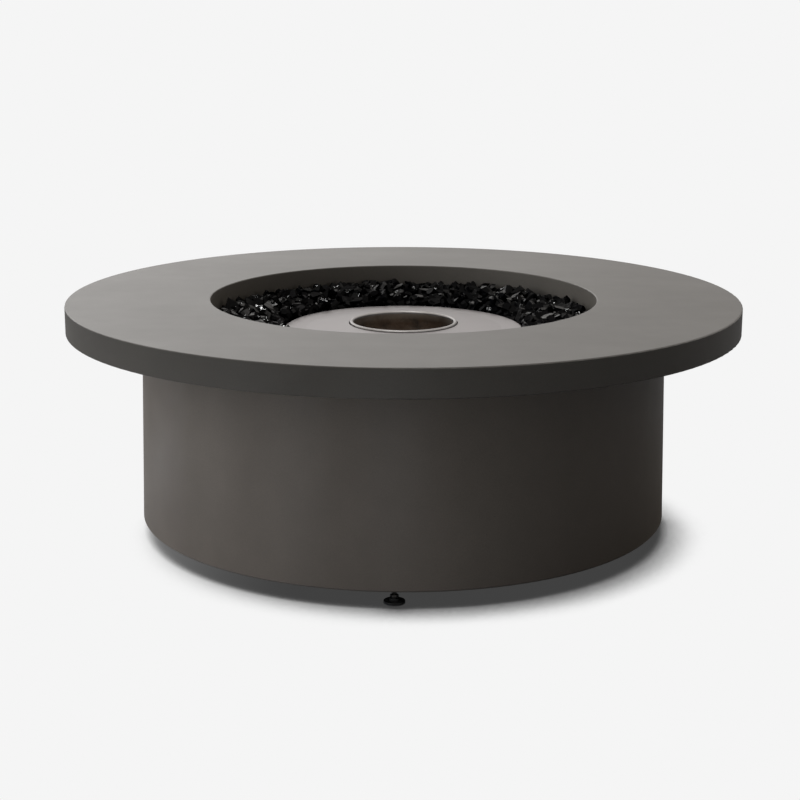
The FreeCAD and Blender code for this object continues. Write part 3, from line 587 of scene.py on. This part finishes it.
def turn_head(low):
    """The round head that the pad traps, with its shank up into the hexagon."""
    bpy.ops.mesh.primitive_cylinder_add(vertices=32, radius=HEAD_RADIUS, depth=HEAD_HEIGHT,
                                        location=(0, 0, low + HEAD_HEIGHT / 2))
    head = bpy.context.active_object
    for face in head.data.polygons:
        face.select = face.normal.z > 0.9
    bpy.ops.object.mode_set(mode="EDIT")
    bpy.ops.mesh.select_mode(type="FACE")
    bpy.ops.mesh.inset(thickness=HEAD_RADIUS - SHANK_RADIUS)
    bpy.ops.mesh.extrude_region_move(
        TRANSFORM_OT_translate={"value": (0, 0, HEXAGON_UP - HEAD_HEIGHT + SUNK)})
    bpy.ops.object.mode_set(mode="OBJECT")
    return head


def cut_hexagon(low):
    """The hexagon for a spanner, with its corners taken off."""
    bpy.ops.mesh.primitive_cylinder_add(vertices=6, radius=HEXAGON_CORNER, depth=HEXAGON_HEIGHT,
                                        location=(0, 0, low + HEXAGON_UP + HEXAGON_HEIGHT / 2),
                                        rotation=(0, 0, math.pi / 2))
    hexagon = bpy.context.active_object
    rounding = hexagon.modifiers.new("corners", "BEVEL")
    rounding.width = HEXAGON_ROUND
    rounding.segments = 2
    bpy.ops.object.modifier_apply(modifier=rounding.name)
    return hexagon


def make_studs():
    """Threaded levelling studs in place of the plain ones."""
    for side in ("front", "right", "back", "left"):
        node = f"foot_stud_{side}"
        lowest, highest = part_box(node)
        thread_low = lowest.z + HEXAGON_UP + HEXAGON_HEIGHT - SUNK
        stud = join_pieces([cut_thread(thread_low, highest.z), turn_head(lowest.z), cut_hexagon(lowest.z)])
        stud.location = ((lowest.x + highest.x) / 2, (lowest.y + highest.y) / 2, 0)
        bpy.ops.object.transform_apply(location=True, rotation=True, scale=True)
        stud.name = f"threaded_stud_{side}"
        bpy.ops.object.shade_smooth_by_angle(angle=SMOOTH_BELOW)
        stud.data.materials.clear()
        stud.data.materials.append(OWN_FINISHES["threaded_stud"])
        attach(stud, f"foot_{side}_stud")
        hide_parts(node)


# Studio

def floor_light(tree, place):
    """How lit the floor looks: pale in the open, dark under the drum, a little lighter there on the left."""
    open_sky = add_node(tree, "ShaderNodeAmbientOcclusion", {"Distance": SHADOW_REACH}, samples=20)
    lean = add_node(tree, "ShaderNodeCombineXYZ", dict(zip("XYZ", SHADOW_LEAN)))
    tree.links.new(lean.outputs["Vector"], open_sky.inputs["Normal"])
    opened = add_node(tree, "ShaderNodeMapRange", {
        "Value": open_sky.outputs["AO"], "From Min": SHADOW_CLOSED, "From Max": SHADOW_OPEN},
        interpolation_type="SMOOTHSTEP")
    moved = add_node(tree, "ShaderNodeVectorMath", {0: place, 1: (SHADOW_TO_RIGHT, 0, 0)},
                     operation="SUBTRACT")
    from_middle = distance(tree, moved.outputs["Vector"])
    outside = spread(tree, from_middle, DRUM_FOOT_RADIUS - SHADOW_EDGE, DRUM_FOOT_RADIUS, 0, 1)
    light = reckon(tree, "MULTIPLY", opened.outputs["Result"], outside)
    across = add_node(tree, "ShaderNodeSeparateXYZ", {"Vector": place}).outputs["X"]
    on_left = spread(tree, across, LIT_LEFT_FULL, LIT_LEFT_NONE, 1, 0)
    lit_left = reckon(tree, "MULTIPLY", reckon(tree, "MULTIPLY", on_left, on_left), SHADOW_LIT_LEFT)
    darkest = reckon(tree, "ADD", lit_left, SHADOW_DARKEST)
    return spread(tree, light, 0, 1, darkest, PALE)


def add_floor():
    """A pale floor to the camera with a soft contact shadow, and a plain grey one to the light."""
    bpy.ops.object.select_all(action="DESELECT")
    bpy.ops.mesh.primitive_plane_add(size=FLOOR_SIDE, location=(0, 0, FLOOR_LEVEL))
    floor = bpy.context.active_object
    floor.name = "studio_floor"
    material = bpy.data.materials.new("pale floor")
    material.use_nodes = True
    tree = material.node_tree
    tree.nodes.clear()
    place = add_node(tree, "ShaderNodeTexCoord").outputs["Object"]
    seen = add_node(tree, "ShaderNodeEmission", {"Color": (*WHITE, 1), "Strength": floor_light(tree, place)})
    grey = (FLOOR_BOUNCE, FLOOR_BOUNCE, FLOOR_BOUNCE, 1)
    bounced = add_node(tree, "ShaderNodeBsdfDiffuse", {"Color": grey})
    ray = add_node(tree, "ShaderNodeLightPath")
    plain = reckon(tree, "MAXIMUM", ray.outputs["Is Camera Ray"], ray.outputs["Is Transmission Ray"])
    both = add_node(tree, "ShaderNodeMixShader", {0: plain, 1: bounced.outputs[0], 2: seen.outputs[0]})
    add_node(tree, "ShaderNodeOutputMaterial", {"Surface": both.outputs[0]})
    floor.data.materials.append(material)


def aim(lamp, azimuth, elevation):
    """Turns a lamp to shine from a side and a height, in degrees."""
    turn = math.radians(azimuth)
    lift = math.radians(elevation)
    towards = Vector((math.sin(turn) * math.cos(lift), -math.cos(turn) * math.cos(lift), math.sin(lift)))
    lamp.rotation_euler = towards.to_track_quat("Z", "Y").to_euler()


def add_sun(name, azimuth, elevation, strength, width, colour=WHITE):
    """A broad far lamp that lights the colour of things without a mirror image of itself."""
    bpy.ops.object.light_add(type="SUN")
    lamp = bpy.context.active_object
    lamp.name = name
    lamp.data.energy = strength
    lamp.data.angle = math.radians(width)
    lamp.data.color = colour
    lamp.visible_glossy = False
    aim(lamp, azimuth, elevation)
    return lamp


def add_sparkle(name, azimuth, elevation, width, piece):
    """A small far lamp that only glints on one polished piece."""
    lamp = add_sun(name, azimuth, elevation, SPARKLE_STRENGTH, width)
    lamp.visible_glossy = True
    lamp.visible_diffuse = False
    shine_only_on(lamp, piece)


def shine_only_on(lamp, piece):
    """Keeps a lamp's light to one piece."""
    lit = bpy.data.collections.new(f"lit by {lamp.name}")
    lit.objects.link(piece)
    lamp.light_linking.receiver_collection = lit


def add_burner_lamp():
    """A small lamp over the mouth's right side that lights only the slab, for the well's wall."""
    bpy.ops.object.light_add(type="POINT", location=BURNER_LAMP_PLACE)
    lamp = bpy.context.active_object
    lamp.name = "burner lamp"
    lamp.data.energy = BURNER_LAMP
    lamp.data.shadow_soft_size = BURNER_LAMP_SIZE
    lamp.data.color = BURNER_LAMP_COLOUR
    lamp.visible_glossy = False
    lamp.visible_camera = False
    shine_only_on(lamp, frame["nodes"]["tabletop_slab"])


def add_low_lamp(number, across, deep, watts):
    """A small lamp just over the floor, for the light that a white floor throws on the drum."""
    bpy.ops.object.light_add(type="AREA", location=(across, deep, LOW_LAMP_HEIGHT))
    lamp = bpy.context.active_object
    lamp.name = f"low lamp {number}"
    lamp.data.shape = "DISK"
    lamp.data.size = LOW_LAMP_SIZE
    lamp.data.spread = math.radians(LOW_LAMP_SPREAD)
    lamp.data.energy = watts
    lamp.data.color = LEFT_LIGHT
    lamp.rotation_euler = (lamp.location + Vector((0, 0, 0.1))).to_track_quat("Z", "Y").to_euler()
    lamp.visible_glossy = False
    lamp.visible_camera = False


def add_lamps(heap):
    """Soft boxes and fills, low lamps at the drum, glints for the glass and the rim, and the burner lamp."""
    for name, azimuth, elevation, strength, colour in SUNS:
        add_sun(name, azimuth, elevation, strength, SUN_WIDTH, colour)
    for number, (across, deep, watts) in enumerate(LOW_LAMPS):
        add_low_lamp(number, across, deep, watts)
    for number, (azimuth, elevation) in enumerate(SPARKLES):
        add_sparkle(f"sparkle lamp {number}", azimuth, elevation, SPARKLE_WIDTH, heap)
    add_sparkle("rim highlight", *RIM_HIGHLIGHT, RIM_HIGHLIGHT_WIDTH, frame["nodes"]["mouth_rim"])
    add_burner_lamp()


def soft_box_behind(tree, across, deep, up):
    """How bright the soft box behind on the left is along a direction."""
    level = reckon(tree, "SUBTRACT", 1.0, reckon(tree, "MULTIPLY", up, up))
    level = reckon(tree, "SQRT", reckon(tree, "MAXIMUM", level, 1e-4))
    towards = weighted(tree, (across, math.sin(SOFTBOX_BEHIND_AZIMUTH)),
                       (deep, -math.cos(SOFTBOX_BEHIND_AZIMUTH)))
    facing = reckon(tree, "MAXIMUM", reckon(tree, "DIVIDE", towards, level), 0.0)
    rising = spread(tree, up, *SOFTBOX_BEHIND_RISE, 0, 1)
    falling = spread(tree, up, *SOFTBOX_BEHIND_FALL, 1, 0)
    band = reckon(tree, "MULTIPLY", rising, falling)
    box = reckon(tree, "MULTIPLY", reckon(tree, "POWER", facing, SOFTBOX_BEHIND_FOCUS), band)
    return reckon(tree, "MULTIPLY", box, SOFTBOX_BEHIND)


def set_world():
    """A pale room: plain to the camera, dimmer on the object, a soft box behind left in reflections."""
    world = bpy.data.worlds.new("studio")
    bpy.context.scene.world = world
    world.use_nodes = True
    tree = world.node_tree
    tree.nodes.clear()
    ray = add_node(tree, "ShaderNodeLightPath")
    mirrored = ray.outputs["Is Glossy Ray"]
    way = add_node(tree, "ShaderNodeSeparateXYZ", {
        "Vector": add_node(tree, "ShaderNodeTexCoord").outputs["Generated"]})
    up = way.outputs["Z"]
    room = reckon(tree, "MULTIPLY", mirrored, spread(tree, up, *ROOM_RISE, ROOM_LOW, ROOM_HIGH))
    lit = reckon(tree, "MULTIPLY", ray.outputs["Is Diffuse Ray"], WORLD_ON_OBJECT)
    room_strength = reckon(tree, "ADD", room, lit)
    box = reckon(tree, "MULTIPLY", soft_box_behind(tree, way.outputs["X"], way.outputs["Y"], up), mirrored)
    plain = reckon(tree, "MAXIMUM", ray.outputs["Is Camera Ray"], ray.outputs["Is Transmission Ray"])
    neutral_strength = reckon(tree, "ADD", reckon(tree, "MULTIPLY", plain, PALE), box)
    neutral = add_node(tree, "ShaderNodeBackground", {"Color": (*WHITE, 1), "Strength": neutral_strength})
    warm = add_node(tree, "ShaderNodeBackground", {"Color": ROOM_WARMTH, "Strength": room_strength})
    both = add_node(tree, "ShaderNodeAddShader", {0: neutral.outputs[0], 1: warm.outputs[0]})
    add_node(tree, "ShaderNodeOutputWorld", {"Surface": both.outputs[0]})


def add_camera():
    """The photograph's view, a little to the right of the front foot."""
    data = bpy.data.cameras.new("camera")
    camera = bpy.data.objects.new("camera", data)
    bpy.context.scene.collection.objects.link(camera)
    data.sensor_width = 1000 * SENSOR
    data.lens = 1000 * SENSOR * LENS_PIXELS / PICTURE_SIDE
    camera.location = (CAMERA_DISTANCE * math.sin(CAMERA_SIDE_STEP),
                       -CAMERA_DISTANCE * math.cos(CAMERA_SIDE_STEP), CAMERA_HEIGHT)
    yaw = CAMERA_SIDE_STEP + math.atan(AXIS_RIGHT_OF_CENTRE / LENS_PIXELS)
    upright = Euler((math.pi / 2 - CAMERA_PITCH, 0, yaw)).to_matrix().to_4x4()
    roll = Matrix.Rotation(CAMERA_ROLL, 4, "Z")
    camera.rotation_euler = (upright @ roll).to_euler()
    bpy.context.scene.camera = camera


bpy.context.scene.view_settings.view_transform = "Standard"
dress_construction()
fire_glass = lay_fire_glass()
make_studs()
add_floor()
add_lamps(fire_glass)
set_world()
add_camera()
